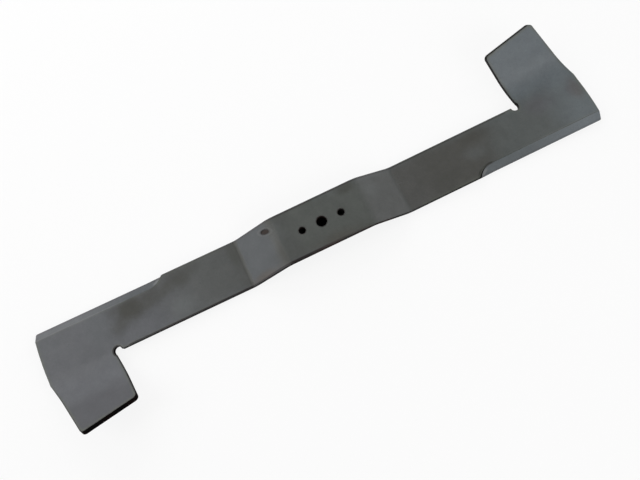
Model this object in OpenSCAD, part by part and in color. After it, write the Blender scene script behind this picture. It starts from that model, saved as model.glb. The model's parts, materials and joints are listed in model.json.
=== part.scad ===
// Mower blade: one flat bar of steel with a raised centre, two ground
// cutting edges and two air lift wings. It is the same turned half round.
// X runs along the blade, Z is up, and the origin is on the spindle axis,
// on the top face of the raised centre.

/* [Bar] */
// Diameter of the circle that the tips run on
swing_d = 590; // [500:5:680]
// Width of the bar
bar_w = 50; // [44:1:70]
// Thickness of the bar
bar_t = 5; // [3:0.5:7]

/* [Raised centre] */
// Height of the centre above the arms, top face to top face
centre_rise = 17.5; // [8:0.5:30]
// Distance from the spindle to the crease where the ramp leaves the centre
shoulder_x = 46; // [38:1:60]
// Distance from the spindle to the crease where the ramp meets the arm
foot_x = 83.5; // [76:0.5:110]
// Radius of the top face round the shoulder bend
shoulder_r = 25; // [10:1:40]
// Radius of the top face in the foot bend
foot_r = 15; // [4:1:30]
// Angle by which each arm climbs towards its tip
arm_rise = 1.5; // [0:0.5:4]

/* [Mounting holes] */
// Diameter of the spindle bolt hole
centre_bore_d = 10.4; // [8:0.1:20]
// Diameter of the two drive pin holes
side_bore_d = 7; // [4:0.1:10]
// Distance from the spindle to each drive pin hole
side_bore_x = 20.3; // [17:0.1:26]

/* [Air lift wings] */
// Angle of the wing above the arm
wing_angle = 37; // [20:1:50]
// Radius of the top face in the wing's bend
wing_bend_r = 52.5; // [30:0.5:70]
// Distance from the trailing edge in to the line where the bend begins
wing_bend_inset = 4; // [2:0.5:8]
// Distance from the swing circle in to the wing's inner corner
wing_inner_back = 81; // [74:1:95]
// Distance from the swing circle in to the wing's outer corner
wing_outer_back = 29; // [15:1:45]
// Flat length of the wing past its bend, at the inner corner
wing_inner_len = 27; // [12:0.5:40]
// Flat length of the wing past its bend, at the outer corner
wing_outer_len = 38.5; // [15:0.5:50]
// Radius of the wing's two corners
wing_corner_r = 4; // [1:0.5:6]
// How far past the bar's width the tip follows the swing circle
tip_past_edge = 6; // [2:0.5:10]

/* [Relief hole] */
// Distance from the swing circle in to the relief hole at the wing's root
relief_back = 69.8; // [60:0.1:72]
// Radius of the relief hole
relief_r = 4.2; // [3.4:0.1:6]
// Radius on the lip between the relief hole and the trailing edge
lip_r = 1.5; // [0.6:0.1:3]

/* [Cutting edge] */
// Length of the ground bevel on the +X half, from the swing circle to its run-out
edge_len = 120; // [90:1:150]
// Length of the ground bevel on the -X half
other_edge_len = 117; // [90:1:150]
// Width of the bevel, square to the blade
bevel_w = 8.2; // [5:0.1:14]
// Flat that is left on the cutting edge
edge_land = 0.3; // [0.1:0.1:1]
// How far the grinding draws the edge in from the bar's side
edge_setback = 0.4; // [0.2:0.1:1]
// Radius of the run-out on the floor of the bevel
runout_r = 13.5; // [11:0.5:24]
// Angle by which the wall of the run-out leans out
runout_flare = 42; // [10:1:50]
// Radius of the corner at the end of the cutting edge
tip_corner_r = 1.5; // [0.5:0.1:4]

/* [Punch mark] */
// Distance down the ramp from the shoulder crease to the oval punch mark
mark_down = 8; // [6:0.5:30]
// Distance from the bar's middle line to the mark
mark_y = 15.5; // [8:0.5:18]
// Length of the mark
mark_len = 8; // [6:0.5:12]
// Width of the mark
mark_w = 5; // [3:0.5:6]
// Depth of the mark
mark_depth = 0.4; // [0.2:0.1:1]

/* [Hidden] */
$fn = 180;

// How far a cutter runs past what it cuts
past = 2;
// How far two flats run past the outer side of the crease between them
lap = 0.5;
// How far the arc of a fold dips into the flats that it runs out on
dip = 0.01;
// How far a hole or a run-out cuts into the line that it ends on
bite = 0.2;
// How far the round at the tip of the cutting edge is moved out
corner_out = 0.02;
// Where the wing's inner edge starts, as a share of the relief hole's radius
root_share = 0.95;
// Steps in each rounded corner of the wing
corner_steps = 8;

swing_r = swing_d / 2;
half_w = bar_w / 2;
wide = bar_w + 2 * past;
reach = swing_r + past;

ramp_angle = atan2(centre_rise, foot_x - shoulder_x);
ramp_len = norm([foot_x - shoulder_x, centre_rise]);
foot_angle = ramp_angle + arm_rise;

wing_bend_y = half_w - wing_bend_inset;
wing_outer_r = wing_bend_r + bar_t;
wing_mid_r = wing_bend_r + bar_t / 2;
wing_crease = wing_bend_r * tan(wing_angle / 2);
wing_lap = bar_t * tan(wing_angle / 2) + lap;
foot_lap = bar_t * tan(foot_angle / 2) + lap;

relief_x = swing_r - relief_back;
relief_y = wing_bend_y + relief_r - bite;

edge_y = half_w - edge_setback;
bevel_y = half_w - bevel_w;
bevel_angle = atan2(bar_t - edge_land, edge_y - bevel_y);

// Heights up the wing are measured from the end of its bend. In the bend
// they are below zero: this is the height of the point of an arc of radius
// r that is y from the bar's middle line, and the same the other way round
function up_wing(y, r) = r * sin(asin((y - wing_bend_y) / r) - wing_angle);
function across_bar(v, r) = wing_bend_y + r * sin(asin(v / r) + wing_angle);

// The wing's inner edge starts inside the relief hole on both faces
root_v = up_wing(relief_y, wing_mid_r);
root_slant = max([for (r = [wing_bend_r, wing_outer_r]) abs(across_bar(root_v, r) - relief_y)]);
root_x = relief_x + root_share * sqrt(pow(relief_r, 2) - pow(root_slant, 2));

tip_y = half_w + tip_past_edge;
wing_root = [root_x, root_v];
wing_inner = [swing_r - wing_inner_back, wing_inner_len];
wing_outer = [swing_r - wing_outer_back, wing_outer_len];
wing_tip = [sqrt(pow(swing_r, 2) - pow(tip_y, 2)), up_wing(tip_y, wing_mid_r)];

// The corner between an arc about the origin and two lines at the distance
// far from it: the first runs along X below the origin, and the second is
// turned up by the angle. The arc is moved a touch towards the crease, so
// that it crosses the faces it joins and doesn't just meet them.
module fold_corner(r, far, angle) {
    half = angle / 2;
    translate(dip * [sin(half), -cos(half)]) difference() {
        polygon(far * [[0, 0], [0, -1], [tan(half), -1], [sin(angle), -cos(angle)]]);
        circle(r = r);
    }
}

// What fills the inner side of a fold, and what its outer side loses. The
// fold's axis is the Y axis, and r is the radius of its inner side.
module fold_fill(r, angle, length) {
    rotate([90, 0, 0]) linear_extrude(length, center = true)
        fold_corner(r, r + bar_t / 2, angle);
}
module fold_cut(r, angle, length) {
    rotate([90, 0, 0]) linear_extrude(length + 2 * past, center = true)
        fold_corner(r + bar_t, r + bar_t + past, angle);
}

// Places the axis of the shoulder bend, with the ramp turned up from it
module at_shoulder() {
    translate([shoulder_x - shoulder_r * tan(ramp_angle / 2), 0, -shoulder_r])
        rotate([180, 0, 0]) children();
}

// Places the top of the ramp, with X down the slope
module at_ramp() {
    translate([shoulder_x, 0, 0]) rotate([0, ramp_angle, 0]) children();
}

// Places the axis of the foot bend, with the arm turned up from it
module at_foot() {
    at_ramp() translate([ramp_len - foot_r * tan(foot_angle / 2), 0, foot_r]) children();
}

// Places the arm, with X still the distance from the spindle
module at_arm() {
    translate([foot_x, 0, -centre_rise]) rotate([0, -arm_rise, 0])
        translate([-foot_x, 0, 0]) children();
}

// A corner p of an outline between its neighbours a and b, rounded
function rounded(a, p, b, r) =
    let (
        to_a = (a - p) / norm(a - p),
        to_b = (b - p) / norm(b - p),
        half = acos(to_a * to_b) / 2,
        middle = p + (to_a + to_b) / norm(to_a + to_b) * r / sin(half),
        first = p + to_a * r / tan(half) - middle,
        start = atan2(first[1], first[0]),
        turn = (180 - 2 * half) / corner_steps
    )
    [for (i = [0 : corner_steps]) middle + r * [cos(start - turn * i), sin(start - turn * i)]];

// Outline of the wing in its own plane: x along the blade, y up the wing
module wing_outline() {
    low = up_wing(wing_bend_y, wing_outer_r) - past;
    lean = (wing_tip[0] - wing_outer[0]) / (wing_tip[1] - wing_outer[1]);
    polygon(concat(
        [[relief_x, low], [relief_x, root_v], wing_root],
        rounded(wing_root, wing_inner, wing_outer, wing_corner_r),
        rounded(wing_inner, wing_outer, wing_tip, wing_corner_r),
        [[wing_tip[0] + lean * (low - wing_tip[1]), low]]
    ));
}

// The trailing side of the bar turned up into the air lift wing
module wing() {
    start = wing_inner[0] - past;
    length = reach - start;
    lapped = wing_crease + wing_lap;
    module along_bar() {
        translate([start + length / 2, wing_bend_y, wing_bend_r]) rotate([0, 0, 90]) children();
    }
    module up_the_wing() {
        translate([0, wing_bend_y, wing_bend_r]) rotate([wing_angle, 0, 0]) children();
    }
    intersection() {
        difference() {
            union() {
                translate([start, wing_bend_y, -bar_t]) cube([length, lapped, bar_t]);
                up_the_wing() translate([start, -lapped, -wing_outer_r])
                    cube([length, lapped + wing_inner_len + wing_outer_len, bar_t]);
                along_bar() fold_fill(wing_bend_r, wing_angle, length);
            }
            along_bar() fold_cut(wing_bend_r, wing_angle, length);
        }
        up_the_wing() translate([0, 0, -wing_outer_r - past])
            linear_extrude(wing_outer_r) wing_outline();
    }
}

// The round hole that lets the wing bend, and the rounded lip beside it
module relief() {
    lip_y = half_w - lip_r + bite / 2 - relief_y;
    lip_x = -sqrt(pow(relief_r + lip_r - bite / 2, 2) - pow(lip_y, 2));
    translate([relief_x, relief_y, -bar_t - past]) linear_extrude(bar_t + 2 * past) {
        circle(r = relief_r);
        difference() {
            polygon([[lip_x, lip_y], [lip_x, relief_r], [0, relief_r], [0, 0]]);
            translate([lip_x, lip_y]) circle(r = lip_r);
        }
    }
}

// What the grinding takes off: the bevel, its round run-out with a leaning
// wall, and the strip by which the edge is drawn in
module grinding(bevel_len) {
    deep = bar_t + past;
    runout_x = swing_r - bevel_len;
    run = reach - runout_x;
    draw_in = 2 * runout_r;
    translate([runout_x, -bevel_y, 0]) rotate([bevel_angle, 0, 0]) {
        translate([0, -2 * bevel_w, 0]) cube([run, 2 * bevel_w + past, deep]);
        translate([0, bite - runout_r, 0])
            cylinder(r1 = runout_r, r2 = runout_r + deep * tan(runout_flare), h = deep);
    }
    translate([0, 0, -bar_t - past]) linear_extrude(bar_t + 2 * past) polygon([
        [runout_x - draw_in, -half_w - edge_setback],
        [runout_x, -edge_y],
        [reach, -edge_y],
        [reach, -half_w - past],
        [runout_x - draw_in, -half_w - past]
    ]);
}

// The flat of the arm, with the trailing side left off beside the wing
module arm_flat() {
    translate([0, 0, -bar_t]) linear_extrude(bar_t) polygon([
        [foot_x - foot_lap, -wide / 2],
        [reach, -wide / 2],
        [reach, wing_bend_y],
        [relief_x, wing_bend_y],
        [relief_x, wide / 2],
        [foot_x - foot_lap, wide / 2]
    ]);
}

// The bar from the spindle out to one tip, bent down and up again, a
// little too wide
module bent_bar() {
    difference() {
        union() {
            translate([0, -wide / 2, -bar_t]) cube([shoulder_x + lap, wide, bar_t]);
            at_ramp() translate([-lap, -wide / 2, -bar_t])
                cube([lap + ramp_len + foot_lap, wide, bar_t]);
            at_arm() arm_flat();
            at_shoulder() fold_fill(shoulder_r - bar_t, ramp_angle, wide);
            at_foot() fold_fill(foot_r, foot_angle, wide);
        }
        at_shoulder() fold_cut(shoulder_r - bar_t, ramp_angle, wide);
        at_foot() fold_cut(foot_r, foot_angle, wide);
    }
}

// What is rounded off the corner where the cutting edge meets the tip. The
// round is moved a touch out, so that it crosses both sides of the corner.
module tip_corner() {
    y = edge_y - tip_corner_r + corner_out;
    x = sqrt(pow(swing_r - tip_corner_r + corner_out, 2) - pow(y, 2));
    translate([x, -y, -swing_r]) linear_extrude(2 * swing_r) difference() {
        translate([0, -2 * tip_corner_r]) square(2 * tip_corner_r);
        circle(r = tip_corner_r);
    }
}

// One half of the blade, from the spindle to the tip at +X
module half_blade(bevel_len) {
    difference() {
        union() {
            intersection() {
                bent_bar();
                translate([0, -half_w, -swing_r]) cube([2 * swing_r, bar_w, 2 * swing_r]);
            }
            at_arm() wing();
        }
        at_arm() {
            relief();
            grinding(bevel_len);
        }
        tip_corner();
    }
}

module mounting_holes() {
    translate([0, 0, -bar_t - past]) {
        cylinder(d = centre_bore_d, h = bar_t + 2 * past);
        for (x = [-side_bore_x, side_bore_x])
            translate([x, 0, 0]) cylinder(d = side_bore_d, h = bar_t + 2 * past);
    }
}

// The shallow oval mark punched into one of the two ramps
module punch_mark() {
    straight = mark_len - mark_w;
    rotate([0, 0, 180]) at_ramp() translate([mark_down, -mark_y, -mark_depth])
        linear_extrude(mark_depth + past) {
            square([straight, mark_w], center = true);
            for (x = [-straight / 2, straight / 2]) translate([x, 0]) circle(d = mark_w);
        }
}

module blade() {
    color("dimgray") difference() {
        intersection() {
            union() {
                half_blade(edge_len);
                rotate([0, 0, 180]) half_blade(other_edge_len);
            }
            cylinder(r = swing_r, h = swing_d, center = true);
        }
        mounting_holes();
        punch_mark();
    }
}

blade();
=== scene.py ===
"""A lawn mower blade on a plain pale floor: materials, soft studio light and the camera.

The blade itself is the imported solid. It lies with its centre hole over the origin and its length
along X. The cutting edges are to +Y on the left half, at -X, and to -Y on the right half.
All lengths are in metres. The tables give places on the blade in millimetres.
"""

import json
import math

import bpy
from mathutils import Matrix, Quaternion, Vector

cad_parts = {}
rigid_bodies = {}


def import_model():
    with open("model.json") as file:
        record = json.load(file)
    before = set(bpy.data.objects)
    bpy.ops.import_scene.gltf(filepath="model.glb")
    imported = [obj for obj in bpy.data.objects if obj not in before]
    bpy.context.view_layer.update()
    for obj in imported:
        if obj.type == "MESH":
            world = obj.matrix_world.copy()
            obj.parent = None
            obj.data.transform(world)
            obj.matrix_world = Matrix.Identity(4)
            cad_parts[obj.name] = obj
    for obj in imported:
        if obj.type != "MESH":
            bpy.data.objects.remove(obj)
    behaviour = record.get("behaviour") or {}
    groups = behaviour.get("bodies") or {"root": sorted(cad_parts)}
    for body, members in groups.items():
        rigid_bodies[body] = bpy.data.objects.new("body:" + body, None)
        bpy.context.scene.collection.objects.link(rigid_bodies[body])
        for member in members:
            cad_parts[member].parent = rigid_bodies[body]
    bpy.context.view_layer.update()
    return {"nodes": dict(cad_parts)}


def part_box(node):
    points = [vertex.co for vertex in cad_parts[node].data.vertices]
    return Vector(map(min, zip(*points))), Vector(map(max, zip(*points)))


MM = 0.001

# What Blender starts with is cleared, so that only the part and its stage are in the scene
for thing in list(bpy.data.objects):
    bpy.data.objects.remove(thing)

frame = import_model()
scene = bpy.context.scene

# Where things are on the blade, as in the part's own source
HALF_LENGTH = 295 * MM
HALF_WIDTH = 25 * MM
BEVEL_LENGTH_RIGHT = 120 * MM
BEVEL_LENGTH_LEFT = 117 * MM

# The oval mark: its middle, its two radii, and how far it leans
MARK = (-53.1 * MM, 15.4 * MM)
MARK_RADII = (3.9 * MM, 2.3 * MM)
MARK_LEAN = 0.3

# The rim of a bevel's round run-out, seen from above, is part of an ellipse. This is how far its
# middle lies over from the bar's middle line, and its two radii.
RUNOUT_CENTRE = -28.35 * MM
RUNOUT_RADII = (16.2 * MM, 11.6 * MM)

# The relief hole at the wing's root: how far out and over its middle lies, and its radius
RELIEF = (225.2 * MM, 24.9 * MM)
RELIEF_RADIUS = 4.2 * MM

# Heights of the rolled grain, of the slow waves and of the grinding strokes
GRAIN_HEIGHT = 0.04 * MM
WAVE_HEIGHT = 0.2 * MM
STROKE_HEIGHT = 0.015 * MM

# How much rougher the olive stains are than the rest, and the sheared sides and the mark
STAIN_ROUGHER = 0.2
DEAD_ROUGHER = 0.3

# Rounding of the edges: the small one that catches light, the painted shade rim, the pale margin
EDGE_ROUNDING = 0.35 * MM
RIM_WIDTH = 2 * MM
MARGIN_WIDTH = 5 * MM

# Corners of the mesh that are closer than this are one. Edges sharper than this stay sharp, in
# degrees.
SAME_POINT = 0.01 * MM
SHARP_ANGLE = 20

# Noise on the blade: size across in millimetres, detail, roughness and seed
NOISE = {
    "drift": (45, 2.0, 0.5, 1.0),
    "waver": (10, 2.0, 0.5, 2.0),
    "wing_root": (25, 2.0, 0.5, 3.0),
    "ragged_broad": (12, 2.0, 0.5, 4.0),
    "ragged_fine": (3, 2.0, 0.5, 4.5),
    "strokes": (0.35, 2.0, 0.6, 5.0),
    "mottle_broad": (11, 3.0, 0.55, 6.0),
    "mottle": (2.4, 3.0, 0.6, 7.0),
    "mottle_fine": (0.5, 2.0, 0.6, 8.0),
    "scratches": (0.4, 1.0, 0.4, 8.5),
    "rust": (18, 4.0, 0.6, 9.0),
    "rim": (4, 2.0, 0.5, 10.0),
    "grain": (0.7, 3.0, 0.6, 11.0),
    "waves": (16, 2.0, 0.5, 12.0),
    "gloss": (6, 4.0, 0.6, 13.0),
    "margin": (7, 2.0, 0.5, 14.0),
    "pits": (1.4, 2.0, 0.5, 15.0),
}

# How much noise is drawn out: scratches and grain along the bar, strokes across it
SCRATCH_STRETCH = (0.04, 1.0, 1.0)
GRAIN_STRETCH = (0.5, 1.0, 1.0)
STROKE_STRETCH = (1.0, 0.06, 0.06)

# Strengths of what is laid over the coating, where 1 hides it. The foot, shoulder, ring and
# cutting line strengths are painted shade, the ridge and crescent ones painted highlights.
FOOT_SHADE_STRENGTH = 0.3
SHOULDER_SHADE_STRENGTH = 0.55
RIDGE_HIGHLIGHT = 0.3
CRESCENT_HIGHLIGHT = 0.6
RING_SHADE_RIGHT = 0.8
RING_SHADE_LEFT = 0.3
PITS = 0.4
SCRATCHES = 0.35
MARK_RIM_STRENGTH = 0.3
RUST = 0.7
CUTTING_LINE_SHADE = 0.25


# Small helpers for building a shader

class Shader:
    """Adds nodes to one material's tree. Sockets are given as sockets or as plain numbers."""

    def __init__(self, material):
        material.use_nodes = True
        self.tree = material.node_tree
        self.tree.nodes.clear()

    def node(self, kind, **settings):
        made = self.tree.nodes.new(kind)
        for name, value in settings.items():
            setattr(made, name, value)
        return made

    def put(self, socket, value):
        if isinstance(value, bpy.types.NodeSocket):
            self.tree.links.new(value, socket)
        else:
            socket.default_value = value

    def math(self, operation, first, second=0.0):
        made = self.node("ShaderNodeMath", operation=operation)
        self.put(made.inputs[0], first)
        self.put(made.inputs[1], second)
        return made.outputs[0]

    def add(self, first, second):
        return self.math("ADD", first, second)

    def less(self, first, second):
        return self.math("SUBTRACT", first, second)

    def times(self, *factors):
        product = factors[0]
        for factor in factors[1:]:
            product = self.math("MULTIPLY", product, factor)
        return product

    def most(self, first, *others):
        for other in others:
            first = self.math("MAXIMUM", first, other)
        return first

    def size(self, value):
        return self.math("ABSOLUTE", value)

    def outside(self, mask):
        """1 where the mask is 0, and 0 where it is 1."""
        return self.less(1.0, mask)

    def step(self, value, start, end, low=0.0, high=1.0):
        """From low before start to high past end, smooth between. Start may lie above end."""
        made = self.node("ShaderNodeMapRange", interpolation_type="SMOOTHSTEP")
        rising = start < end
        self.put(made.inputs["Value"], value)
        self.put(made.inputs["From Min"], start if rising else end)
        self.put(made.inputs["From Max"], end if rising else start)
        self.put(made.inputs["To Min"], low if rising else high)
        self.put(made.inputs["To Max"], high if rising else low)
        return made.outputs["Result"]

    def between(self, value, start, end, soft):
        """1 from start to end, falling to 0 over a soft margin outside each."""
        up = self.step(value, start - soft, start)
        down = self.step(value, end + soft, end)
        return self.times(up, down)

    def noise(self, where, kind):
        """Soft noise from 0 to 1 with its middle at 0.5, of a kind from the table."""
        size, detail, roughness, seed = NOISE[kind]
        made = self.node("ShaderNodeTexNoise", noise_dimensions="4D")
        self.put(made.inputs["Vector"], where)
        self.put(made.inputs["W"], seed)
        self.put(made.inputs["Scale"], 1.0 / (size * MM))
        self.put(made.inputs["Detail"], detail)
        self.put(made.inputs["Roughness"], roughness)
        return made.outputs["Fac"]

    def wobble(self, where, kind, amount):
        """Noise about 0, of the given amount up and down."""
        return self.times(self.less(self.noise(where, kind), 0.5), 2.0 * amount)

    def stretched(self, where, scale):
        made = self.node("ShaderNodeVectorMath", operation="MULTIPLY")
        self.put(made.inputs[0], where)
        self.put(made.inputs[1], scale)
        return made.outputs[0]

    def split(self, vector):
        made = self.node("ShaderNodeSeparateXYZ")
        self.put(made.inputs[0], vector)
        return made.outputs

    def mix(self, share, first, second):
        made = self.node("ShaderNodeMix", data_type="RGBA")
        self.put(made.inputs["Factor"], share)
        self.put(made.inputs["A"], first)
        self.put(made.inputs["B"], second)
        return made.outputs["Result"]

    def shade(self, colour, level):
        """The colour times a level."""
        made = self.node("ShaderNodeVectorMath", operation="SCALE")
        self.put(made.inputs[0], colour)
        self.put(made.inputs["Scale"], level)
        return made.outputs[0]

    def far(self, x, y, centre, radii):
        """Distance from a centre, 1 on the ellipse with the given radii."""
        across = self.math("DIVIDE", self.less(x, centre[0]), radii[0])
        along = self.math("DIVIDE", self.less(y, centre[1]), radii[1])
        square = self.add(self.math("POWER", self.size(across), 2.0),
                          self.math("POWER", self.size(along), 2.0))
        return self.math("SQRT", square)

    def rounded(self, radius, samples):
        """The surface's direction with its edges rounded off."""
        made = self.node("ShaderNodeBevel", samples=samples)
        self.put(made.inputs["Radius"], radius)
        return made.outputs["Normal"]

    def agree(self, first, second):
        """1 where two directions are the same, and less the more they part."""
        made = self.node("ShaderNodeVectorMath", operation="DOT_PRODUCT")
        self.put(made.inputs[0], first)
        self.put(made.inputs[1], second)
        return made.outputs["Value"]


def paint_colour(red, green, blue):
    """A colour written as it looks, from 0 to 255, for a shader's own scale."""
    def linear(level):
        level /= 255
        return level / 12.92 if level <= 0.04045 else ((level + 0.055) / 1.055) ** 2.4

    return (linear(red), linear(green), linear(blue), 1.0)


# The blade's coated steel. The thin dark coating is neutral in the middle, olive on the right
# arm and bluish towards both tips, as steel that has been hardened there often is.

MIDDLE = paint_colour(80, 83, 80)
MIDDLE_LEFT = paint_colour(73, 75, 73)
LEFT_RAMP = paint_colour(71, 75, 78)
RIGHT_RAMP = paint_colour(65, 67, 66)
LEFT_ARM = paint_colour(75, 77, 76)
LEFT_ARM_OUT = paint_colour(77, 79, 83)
RIGHT_ARM_IN = paint_colour(77, 77, 75)
RIGHT_ARM = paint_colour(72, 72, 69)
RIGHT_ARM_OUT = paint_colour(79, 83, 82)
RIGHT_TIP = paint_colour(91, 98, 101)
# The wings are bluish, and painted lighter than the arms: partly painted light where they bend up
LEFT_WING = paint_colour(89, 91, 95)
LEFT_WING_END = paint_colour(74, 75, 79)
RIGHT_WING = paint_colour(95, 102, 106)
RIGHT_WING_END = paint_colour(86, 94, 99)
LEFT_BEVEL = paint_colour(57, 62, 66)
LEFT_BEVEL_END = paint_colour(97, 99, 102)
RIGHT_BEVEL = paint_colour(62, 70, 74)
RIGHT_BEVEL_END = paint_colour(90, 98, 103)

# Pale is for patches, two of which are painted highlights on the shoulders' bends
PALE = paint_colour(92, 97, 97)
# Olive is for stains, and also for the painted shade at the left arm's foot and shoulder
OLIVE = paint_colour(54, 54, 48)
BROWN = paint_colour(70, 62, 54)
PURPLE = paint_colour(80, 78, 84)
MARK_BROWN = paint_colour(70, 64, 61)
MARK_RIM = paint_colour(98, 98, 96)
# The sheared sides' near-black, darker on the near side than the far one, is partly their own
# colour and partly painted shade, and it is also painted as shade on rims and edge lines
SHEARED = paint_colour(6, 6, 6)
SHEARED_FAR = paint_colour(38, 38, 37)
SHEARED_RUST = paint_colour(38, 15, 11)
# Dark for the pits, and for the painted shade round the run-outs
DARK_PIT_AND_SHADE = paint_colour(26, 25, 23)
MARGIN = paint_colour(84, 88, 80)
# Pale for scratches, and for the painted highlights on the bevels' ridges and in the run-outs
PALE_SCRATCH_AND_HIGHLIGHT = paint_colour(112, 113, 113)

# Tones along the bar, each laid over the ones before: the colour, whether its borders are crisp,
# and for each border where the tone starts and where it is full, in millimetres
TONES = [
    (MIDDLE_LEFT, False, [(-12, -34)]),
    (LEFT_ARM, False, [(-84, -105)]),
    (LEFT_ARM_OUT, False, [(-125, -190)]),
    (LEFT_RAMP, True, [(-85, -81.5), (-46, -55)]),
    (RIGHT_RAMP, True, [(41, 51.5), (87, 84)]),
    (RIGHT_ARM_IN, True, [(83, 87)]),
    (RIGHT_ARM, False, [(96, 124)]),
    (RIGHT_ARM_OUT, False, [(168, 205)]),
    (RIGHT_TIP, False, [(238, 288)]),
]

# Uneven patches on the top face: colour, then centre and radii in millimetres, and strength
PATCHES = [
    (OLIVE, (-202, 7), (20, 14), 0.92),
    (OLIVE, (-180, 10), (20, 10), 0.64),
    (OLIVE, (-218, -6), (9, 9), 0.40),
    (OLIVE, (-150, 15), (15, 10), 0.62),
    (OLIVE, (-134, 18), (12, 8), 0.30),
    (OLIVE, (-90, 14), (6, 14), 0.28),
    (OLIVE, (34, 20), (9, 6), 0.65),
    (OLIVE, (-5, -18), (34, 9), 0.15),
    (OLIVE, (172, 17), (17, 7), 0.50),
    (OLIVE, (202, 4), (4, 9), 0.25),
    (OLIVE, (107, -2), (5, 6), 0.18),
    (OLIVE, (128, -12), (9, 5), 0.18),
    (OLIVE, (-51, -15), (8, 9), 0.25),
    # This pale patch at the left shoulder's bend is a painted highlight
    (PALE, (-42, 8), (8, 12), 0.20),
    (OLIVE, (-238, -80), (24, 5), 0.15),
    (BROWN, (-69, -24), (16, 6), 0.80),
    (BROWN, (10, -23), (26, 8), 0.35),
    (PURPLE, (246, 16), (16, 10), 0.45),
    (BROWN, (288, 14), (8, 12), 0.50),
    (PURPLE, (285, 18), (7, 9), 0.30),
    (PALE, (-152, -12), (13, 10), 0.40),
    (LEFT_RAMP, (-236, 2), (12, 18), 0.55),
    (LEFT_RAMP, (-282, 10), (14, 8), 0.35),
    (PALE, (167, 0), (10, 8), 0.40),
    # This pale patch at the right shoulder's bend is a painted highlight
    (PALE, (57, 11), (7, 10), 0.24),
]


class Place:
    """Where on the blade a point lies, and how its face is turned, as sockets.

    The two halves are the same turned half round, so most places are given on the right half:
    out is how far towards the tip, and trail is how far over towards the trailing side. Left,
    right, far_side and top are masks, where far_side is the side of the blade at +Y.
    """

    def __init__(self, s):
        self.where = s.node("ShaderNodeTexCoord").outputs["Object"]
        self.x, self.y, _ = s.split(self.where)
        self.normal = s.node("ShaderNodeNewGeometry").outputs["True Normal"]
        _, self.normal_y, self.normal_z = s.split(self.normal)
        self.out = s.size(self.x)
        self.trail = s.times(self.y, s.math("SIGN", self.x))
        self.left = s.step(self.x, 1 * MM, -1 * MM)
        self.right = s.outside(self.left)
        self.far_side = s.step(self.y, -10 * MM, 10 * MM)
        self.top = s.step(self.normal_z, 0.0, 0.3)

        # Along the bar with a slow wander and with a slight one, and an uneven shift of outlines
        self.drift = s.add(self.x, s.wobble(self.where, "drift", 22 * MM))
        self.crisp = s.add(self.x, s.wobble(self.where, "waver", 1.2 * MM))
        self.ragged = s.add(s.wobble(self.where, "ragged_broad", 0.45),
                            s.wobble(self.where, "ragged_fine", 0.15))


def tones_along_bar(s, at):
    base = MIDDLE
    for colour, crisp, borders in TONES:
        along = at.crisp if crisp else at.drift
        within = s.times(*[s.step(along, start * MM, full * MM) for start, full in borders])
        base = s.mix(within, base, colour)

    # On the wings the tone is painted lighter where they bend up, partly as painted light, and
    # darker towards their ends
    over = s.add(at.trail, s.wobble(at.where, "wing_root", 5 * MM))
    on_wing = s.step(over, 16 * MM, 40 * MM)
    wing_end = s.step(over, 44 * MM, 62 * MM)
    base = s.mix(s.times(on_wing, at.right), base, s.mix(wing_end, RIGHT_WING, RIGHT_WING_END))
    base = s.mix(s.times(on_wing, at.left), base, s.mix(wing_end, LEFT_WING, LEFT_WING_END))

    # The left arm is painted a touch darker beside the fold at its foot, more so towards +Y, with a
    # dark line at the foot and a dark band at the left shoulder: painted shade of the folds.
    fold = s.between(at.crisp, -92 * MM, -85 * MM, soft=6 * MM)
    fold = s.times(fold, s.step(at.y, -15 * MM, 12 * MM, low=0.08, high=0.25))
    base = s.mix(fold, base, OLIVE)
    foot = s.between(at.crisp, -86.5 * MM, -83.5 * MM, soft=1 * MM)
    shoulder = s.times(s.step(at.crisp, -53 * MM, -46 * MM), s.step(at.crisp, -42 * MM, -45 * MM))
    return s.mix(s.add(s.times(foot, FOOT_SHADE_STRENGTH), s.times(shoulder, SHOULDER_SHADE_STRENGTH)), base, OLIVE)


def uneven_patches(s, at, base):
    """Lays on the patches. Also gives where the olive ones have dulled the coating."""
    dull = 0.0
    for colour, centre, radii, strength in PATCHES:
        distance = s.far(at.x, at.y, [c * MM for c in centre], [r * MM for r in radii])
        inside = s.times(s.step(s.add(distance, at.ragged), 1.5, 0.2, high=strength), at.top)
        base = s.mix(inside, base, colour)
        if colour == OLIVE:
            dull = s.most(inside, dull)
    return base, dull


def ground_bevels(s, at, base, ground, strokes):
    """The ground bevels are paler towards the tip, with fine strokes across and a painted highlight
    along the ridge.
    """
    left_bevel = s.mix(s.step(at.out, 174 * MM, 272 * MM), LEFT_BEVEL, LEFT_BEVEL_END)
    right_bevel = s.mix(s.step(at.out, 200 * MM, 290 * MM), RIGHT_BEVEL, RIGHT_BEVEL_END)
    bevel = s.shade(s.mix(at.left, right_bevel, left_bevel),
                    s.step(strokes, 0.2, 0.8, low=0.93, high=1.07))
    base = s.mix(ground, base, bevel)
    left_ridge = s.times(s.between(at.trail, -17.6 * MM, -16.4 * MM, soft=0.8 * MM), at.left)
    right_ridge = s.times(s.between(at.trail, -16.8 * MM, -15.8 * MM, soft=0.8 * MM), at.right)
    ridge = s.times(s.add(left_ridge, right_ridge), RIDGE_HIGHLIGHT,
                    s.step(at.out, 190 * MM, 235 * MM), at.top)
    return s.mix(ridge, base, PALE_SCRATCH_AND_HIGHLIGHT)


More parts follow.
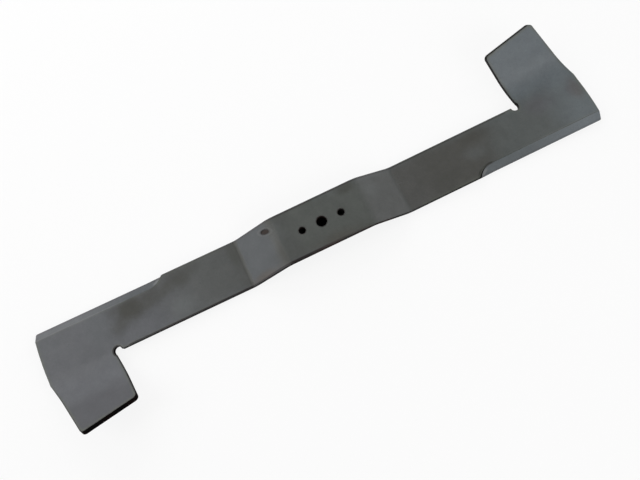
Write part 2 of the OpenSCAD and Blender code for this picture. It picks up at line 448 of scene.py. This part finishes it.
def run_outs(s, at, base, ground):
    """A dark ring of painted shade lies round each run-out, stronger on the right, and a painted
    highlight lies as a pale crescent on the end of the ground face in it.
    """
    start = s.step(at.left, 0.0, 1.0, low=HALF_LENGTH - BEVEL_LENGTH_RIGHT,
                   high=HALF_LENGTH - BEVEL_LENGTH_LEFT)
    past = s.less(at.out, start)
    distance = s.far(past, at.trail, (0.0, RUNOUT_CENTRE), RUNOUT_RADII)
    crescent = s.times(s.between(distance, 0.76, 0.88, soft=0.10),
                       s.step(past, -3 * MM, -8 * MM), ground, CRESCENT_HIGHLIGHT)
    ring = s.times(s.between(distance, 0.99, 1.10, soft=0.09), s.step(past, 5 * MM, 0.0), at.top,
                   s.step(at.left, 0.0, 1.0, low=RING_SHADE_RIGHT, high=RING_SHADE_LEFT))
    return s.mix(ring, s.mix(crescent, base, PALE_SCRATCH_AND_HIGHLIGHT), DARK_PIT_AND_SHADE)


def wear(s, at, base):
    """Mottling of the coating in three sizes, small dark pits and faint scratches along the bar."""
    mottle = s.times(
        s.step(s.noise(at.where, "mottle_broad"), 0.25, 0.75, low=0.93, high=1.07),
        s.step(s.noise(at.where, "mottle"), 0.25, 0.75, low=0.95, high=1.05),
        s.step(s.noise(at.where, "mottle_fine"), 0.25, 0.75, low=0.90, high=1.10),
    )
    base = s.shade(base, mottle)
    pits = s.step(s.noise(at.where, "pits"), 0.68, 0.75, high=PITS)
    base = s.mix(pits, base, DARK_PIT_AND_SHADE)
    drawn_out = s.stretched(at.where, SCRATCH_STRETCH)
    scratches = s.step(s.noise(drawn_out, "scratches"), 0.72, 0.78, high=SCRATCHES)
    return s.mix(s.times(scratches, at.top), base, PALE_SCRATCH_AND_HIGHLIGHT)


def oval_mark(s, at, base):
    """The punched oval mark is brown and dull, with a pale rim. Also gives where it is."""
    leaning_y = s.add(at.y, s.times(s.less(at.x, MARK[0]), MARK_LEAN))
    distance = s.far(at.x, leaning_y, MARK, MARK_RADII)
    inside = s.times(s.step(s.add(distance, s.times(at.ragged, 0.4)), 1.45, 0.7), at.top)
    rim = s.times(s.between(distance, 1.5, 1.8, soft=0.3), at.top, MARK_RIM_STRENGTH)
    return s.mix(inside, s.mix(rim, base, MARK_RIM), MARK_BROWN), inside


def long_edge_lines(s, at, ground, uneven):
    """A dark line of painted shade follows the bar's long edges, heaviest at the left shoulder on
    the near side. A fainter line of painted shade lies along each cutting edge.
    """
    to_edge = s.less(HALF_WIDTH, s.size(at.y))
    line_end = s.step(at.trail, -1 * MM, 1 * MM, low=171 * MM, high=212 * MM)
    on_bar = s.times(s.step(s.less(at.out, line_end), 3 * MM, 0.0), at.top)
    near_strength = s.most(s.step(s.size(s.add(at.x, 45 * MM)), 105 * MM, 5 * MM),
                           s.step(at.x, -40 * MM, -80 * MM, high=0.95))
    widened = s.times(s.step(at.x, -75 * MM, -55 * MM), 0.5 * MM)
    near_line = s.times(near_strength, s.outside(at.far_side),
                        s.step(s.less(to_edge, widened), 1.9 * MM, 1.2 * MM))
    far_line = s.times(s.step(at.x, -65 * MM, -45 * MM, low=0.35, high=0.6),
                       s.step(to_edge, 2.7 * MM, 1.5 * MM), at.far_side, uneven)
    cutting_line = s.times(s.step(to_edge, 3.2 * MM, 1.2 * MM), ground, CUTTING_LINE_SHADE)
    return s.add(s.times(s.add(near_line, far_line), on_bar), cutting_line)


def sides_and_rims(s, at, base, ground):
    """The sheared sides are almost black, partly their own colour and partly painted shade, with a
    little red rust. The rim beside them, the long edge lines and the relief hole's rim are painted
    shade in that dark colour.

    Also gives where the sides are sheared.
    """
    near_edge = s.step(s.agree(s.rounded(RIM_WIDTH, samples=6), at.normal), 0.999, 0.95)
    near_margin = s.agree(s.rounded(MARGIN_WIDTH, samples=8), at.normal)
    margin = s.times(s.step(near_margin, 0.9998, 0.97),
                     s.step(at.out, 92 * MM, 100 * MM),
                     s.step(s.noise(at.where, "margin"), 0.3, 0.7, low=0.35, high=0.85), at.top)

    # The flat that is left along the left half's cutting edge is ground, not sheared
    left_edge_flat = s.times(s.step(at.out, 155 * MM, 160 * MM),
                             s.step(at.trail, -15 * MM, -16 * MM),
                             s.step(at.out, 290 * MM, 289 * MM), at.left)
    sheared = s.times(s.step(s.size(at.normal_z), 0.74, 0.60), s.outside(left_edge_flat))

    rusty = s.times(s.step(s.noise(at.where, "rust"), 0.35, 0.62, high=RUST),
                    s.step(at.x, -110 * MM, 10 * MM, low=0.25), s.step(at.x, 80 * MM, 50 * MM))
    edge_paint = s.mix(rusty, s.mix(at.far_side, SHEARED, SHEARED_FAR), SHEARED_RUST)
    uneven = s.step(s.noise(at.where, "rim"), 0.3, 0.65, low=0.8)
    # The rim's painted shade is weaker along the right half's near edge and on the far side
    rim_shade_gap = s.times(s.step(at.trail, -20 * MM, -22 * MM), s.step(at.x, 20 * MM, 50 * MM, high=0.6))
    rim_shade = s.times(near_edge, s.outside(ground), s.step(at.out, 293 * MM, 290 * MM), uneven,
                       s.step(at.far_side, 0.0, 1.0, low=1.0, high=0.45), s.outside(rim_shade_gap))
    long_line = long_edge_lines(s, at, ground, uneven)

    # The relief hole at the left wing's root has a broad dark rim, painted shade of its wall
    from_relief = s.far(at.out, at.trail, RELIEF, (RELIEF_RADIUS, RELIEF_RADIUS))
    relief_rim = s.times(s.step(from_relief, 1.32, 1.22), at.left, at.top)

    base = s.mix(s.times(margin, s.outside(ground)), base, MARGIN)
    base = s.mix(s.most(rim_shade, long_line, relief_rim), base, edge_paint)
    return s.mix(sheared, base, edge_paint), sheared


def surface_relief(s, at, ground, strokes):
    """Rolled grain, slight waves of the surface and the grinding strokes, on rounded edges."""
    grain = s.noise(s.stretched(at.where, GRAIN_STRETCH), "grain")
    waves = s.noise(at.where, "waves")
    height = s.add(s.add(s.times(grain, GRAIN_HEIGHT), s.times(waves, WAVE_HEIGHT)),
                   s.times(strokes, ground, STROKE_HEIGHT))
    bump = s.node("ShaderNodeBump")
    s.put(bump.inputs["Strength"], 1.0)
    s.put(bump.inputs["Distance"], 1.0)
    s.put(bump.inputs["Height"], height)
    s.put(bump.inputs["Normal"], s.rounded(EDGE_ROUNDING, samples=4))
    return bump.outputs["Normal"]


def coated_steel():
    material = bpy.data.materials.new("coated_steel_paint")
    s = Shader(material)
    at = Place(s)
    ground = s.times(s.step(at.trail, -15.5 * MM, -16.5 * MM),
                     s.step(s.size(at.normal_y), 0.25, 0.4), at.top)
    strokes = s.noise(s.stretched(at.where, STROKE_STRETCH), "strokes")

    base = tones_along_bar(s, at)
    base, dull = uneven_patches(s, at, base)
    base = ground_bevels(s, at, base, ground, strokes)
    base = run_outs(s, at, base, ground)
    base = wear(s, at, base)
    base, in_mark = oval_mark(s, at, base)
    base, sheared = sides_and_rims(s, at, base, ground)

    # The sides and the mark have no gloss, and the olive stains have less than the rest
    dead = s.most(sheared, in_mark)
    roughness = s.step(s.noise(at.where, "gloss"), 0.25, 0.75, low=0.36, high=0.44)
    roughness = s.add(roughness, s.add(s.times(dull, STAIN_ROUGHER), s.times(dead, DEAD_ROUGHER)))

    surface = s.node("ShaderNodeBsdfPrincipled")
    s.put(surface.inputs["Base Color"], base)
    s.put(surface.inputs["Roughness"], roughness)
    s.put(surface.inputs["Specular IOR Level"], s.step(dead, 0.0, 1.0, low=0.5, high=0.02))
    s.put(surface.inputs["Normal"], surface_relief(s, at, ground, strokes))
    finish = s.node("ShaderNodeOutputMaterial")
    s.put(finish.inputs["Surface"], surface.outputs[0])
    return material


def smooth_folds(piece):
    """Shades the folds as smooth curves and keeps the sharp edges. No vertex moves."""
    tree = bpy.data.node_groups.new("smooth_folds", "GeometryNodeTree")
    for direction in ("INPUT", "OUTPUT"):
        tree.interface.new_socket("Geometry", in_out=direction, socket_type="NodeSocketGeometry")
    given = tree.nodes.new("NodeGroupInput")
    weld = tree.nodes.new("GeometryNodeMergeByDistance")
    weld.inputs["Distance"].default_value = SAME_POINT
    edge_angle = tree.nodes.new("GeometryNodeInputMeshEdgeAngle")
    is_sharp = tree.nodes.new("FunctionNodeCompare")
    is_sharp.data_type = "FLOAT"
    is_sharp.operation = "GREATER_THAN"
    is_sharp.inputs[1].default_value = math.radians(SHARP_ANGLE)
    normals = tree.nodes.new("GeometryNodeSetMeshNormal")
    normals.inputs["Remove Custom"].default_value = True
    normals.inputs["Face Sharpness"].default_value = False
    done = tree.nodes.new("NodeGroupOutput")
    tree.links.new(given.outputs[0], weld.inputs["Geometry"])
    tree.links.new(edge_angle.outputs["Unsigned Angle"], is_sharp.inputs[0])
    tree.links.new(is_sharp.outputs[0], normals.inputs["Edge Sharpness"])
    tree.links.new(weld.outputs[0], normals.inputs["Mesh"])
    tree.links.new(normals.outputs[0], done.inputs[0])
    piece.modifiers.new("smooth_folds", "NODES").node_group = tree
    even = piece.modifiers.new("even_normals", "WEIGHTED_NORMAL")
    even.mode = "FACE_AREA"
    even.weight = 50
    even.keep_sharp = True


blade = frame["nodes"]["blade"]
blade.material_slots[0].material = coated_steel()
smooth_folds(blade)

# The floor is at the lowest point of the blade. It looks white, keeps a soft shadow, and has a
# dark shade under the raised centre, so that the three holes look as dark as in the photograph.
# The core is the share of its radii that is wholly dark, and the fall is how late it clears.
FLOOR_HALF = 4.0
FLOOR_COLOUR = 0.9
SHADE_COLOUR = paint_colour(8, 8, 8)
SHADE_CENTRE = (1.5 * MM, 6 * MM)
SHADE_RADII = (60 * MM, 25 * MM)
SHADE_CORE = 0.3
SHADE_FALL = 2.2

# The share of plain white in what the camera sees of the floor near the blade. It rises to all of
# it between these two distances from the blade, so that the floor's far end doesn't show.
FLOOR_WHITE_SHARE = 0.85
FADE_START = 0.6
FADE_END = 2.0

low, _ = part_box("blade")
corners = [(-1, -1), (1, -1), (1, 1), (-1, 1)]
mesh = bpy.data.meshes.new("floor")
mesh.from_pydata([(FLOOR_HALF * a, FLOOR_HALF * b, low.z) for a, b in corners], [], [(0, 1, 2, 3)])
floor = bpy.data.objects.new("floor", mesh)
scene.collection.objects.link(floor)


def floor_paint():
    material = bpy.data.materials.new("floor_paint")
    s = Shader(material)
    x, y, _ = s.split(s.node("ShaderNodeTexCoord").outputs["Object"])
    clear = s.step(s.far(x, y, SHADE_CENTRE, SHADE_RADII), SHADE_CORE, 1.0)
    clear = s.math("POWER", clear, SHADE_FALL)
    metres_away = s.far(x, y, (0.0, 0.0), (1.0, 1.0))
    share = s.step(metres_away, FADE_START, FADE_END, low=FLOOR_WHITE_SHARE)
    matt = s.node("ShaderNodeBsdfDiffuse")
    pale = (FLOOR_COLOUR, FLOOR_COLOUR, FLOOR_COLOUR, 1.0)
    s.put(matt.inputs["Color"], s.mix(clear, SHADE_COLOUR, pale))
    white = s.node("ShaderNodeEmission")
    s.put(white.inputs["Strength"], clear)
    path = s.node("ShaderNodeLightPath")
    seen = s.most(path.outputs["Is Camera Ray"], path.outputs["Is Glossy Ray"],
                  path.outputs["Is Transmission Ray"])
    both = s.node("ShaderNodeMixShader")
    s.put(both.inputs[0], s.times(seen, share))
    s.put(both.inputs[1], matt.outputs[0])
    s.put(both.inputs[2], white.outputs[0])
    finish = s.node("ShaderNodeOutputMaterial")
    s.put(finish.inputs["Surface"], both.outputs[0])
    return material


mesh.materials.append(floor_paint())

# White all round for the camera. On the blade falls a soft light from low down on all sides,
# under a dark ceiling. Heights are 0 at the horizon and 1 straight up.
WALL_TOP = 0.45
CEILING = 0.92
WALL_LIGHT = 0.64
WALL_GLOSS = 0.8
WHITE = (1.0, 1.0, 1.0, 1.0)

world = bpy.data.worlds.new("studio")
scene.world = world
s = Shader(world)
upward = s.split(s.node("ShaderNodeTexCoord").outputs["Generated"])["Z"]
wall = s.step(upward, CEILING, WALL_TOP)
path = s.node("ShaderNodeLightPath")
in_gloss = s.most(path.outputs["Is Glossy Ray"], path.outputs["Is Transmission Ray"])
wall_light = s.times(wall, s.step(in_gloss, 0.0, 1.0, low=WALL_LIGHT, high=WALL_GLOSS))
sky = s.node("ShaderNodeBackground")
s.put(sky.inputs["Color"], WHITE)
s.put(sky.inputs["Strength"], s.most(path.outputs["Is Camera Ray"], wall_light))
s.put(s.node("ShaderNodeOutputWorld").inputs["Surface"], sky.outputs[0])

# Square lamps that face the blade: name, azimuth and elevation in degrees, size and power.
# Azimuth 0 is in front, at -Y, and 90 at +X.
LAMP_DISTANCE = 1.2
LAMPS = [
    ("lamp_left", -109, 40, 0.8, 3.4),
    ("lamp_right", 107, 35, 0.8, 2.0),
    ("lamp_back", 180, 25, 0.8, 6.0),
    ("lamp_front", 30, 35, 0.8, 4.0),
    ("lamp_high_left", -120, 62, 0.5, 1.7),
]


def direction(azimuth, elevation):
    """The direction from the blade to a lamp or the camera, with angles in radians."""
    return Vector((
        math.sin(azimuth) * math.cos(elevation),
        -math.cos(azimuth) * math.cos(elevation),
        math.sin(elevation),
    ))


def face(thing, away, roll=0.0):
    """Turns a lamp or camera to look against the given direction."""
    thing.rotation_mode = "QUATERNION"
    thing.rotation_quaternion = (-away).to_track_quat("-Z", "Y") @ Quaternion((0, 0, 1), roll)


for name, azimuth, elevation, size, power in LAMPS:
    lamp = bpy.data.lights.new(name, "AREA")
    lamp.shape = "SQUARE"
    lamp.size = size
    lamp.energy = power
    holder = bpy.data.objects.new(name, lamp)
    scene.collection.objects.link(holder)
    away = direction(math.radians(azimuth), math.radians(elevation))
    holder.location = away * LAMP_DISTANCE
    face(holder, away)

# The camera stands where the photograph was taken from. The sensor's width is in millimetres.
SENSOR = 36.0
FOCAL_PIXELS = 547.925
PICTURE_WIDTH = 640
NEAREST = 10 * MM
AIM = Vector((-9.205 * MM, -15.974 * MM, 0))
DISTANCE = 513.738 * MM
AZIMUTH, ELEVATION, ROLL = (math.radians(v) for v in (-10.700, 75.625, -15.181))
lens = bpy.data.cameras.new("camera")
lens.sensor_width = SENSOR
lens.lens = FOCAL_PIXELS * SENSOR / PICTURE_WIDTH
lens.clip_start = NEAREST
camera = bpy.data.objects.new("camera", lens)
scene.collection.objects.link(camera)
back = direction(AZIMUTH, ELEVATION)
camera.location = AIM + DISTANCE * back
face(camera, back, ROLL)
scene.camera = camera

scene.view_settings.view_transform = "Standard"
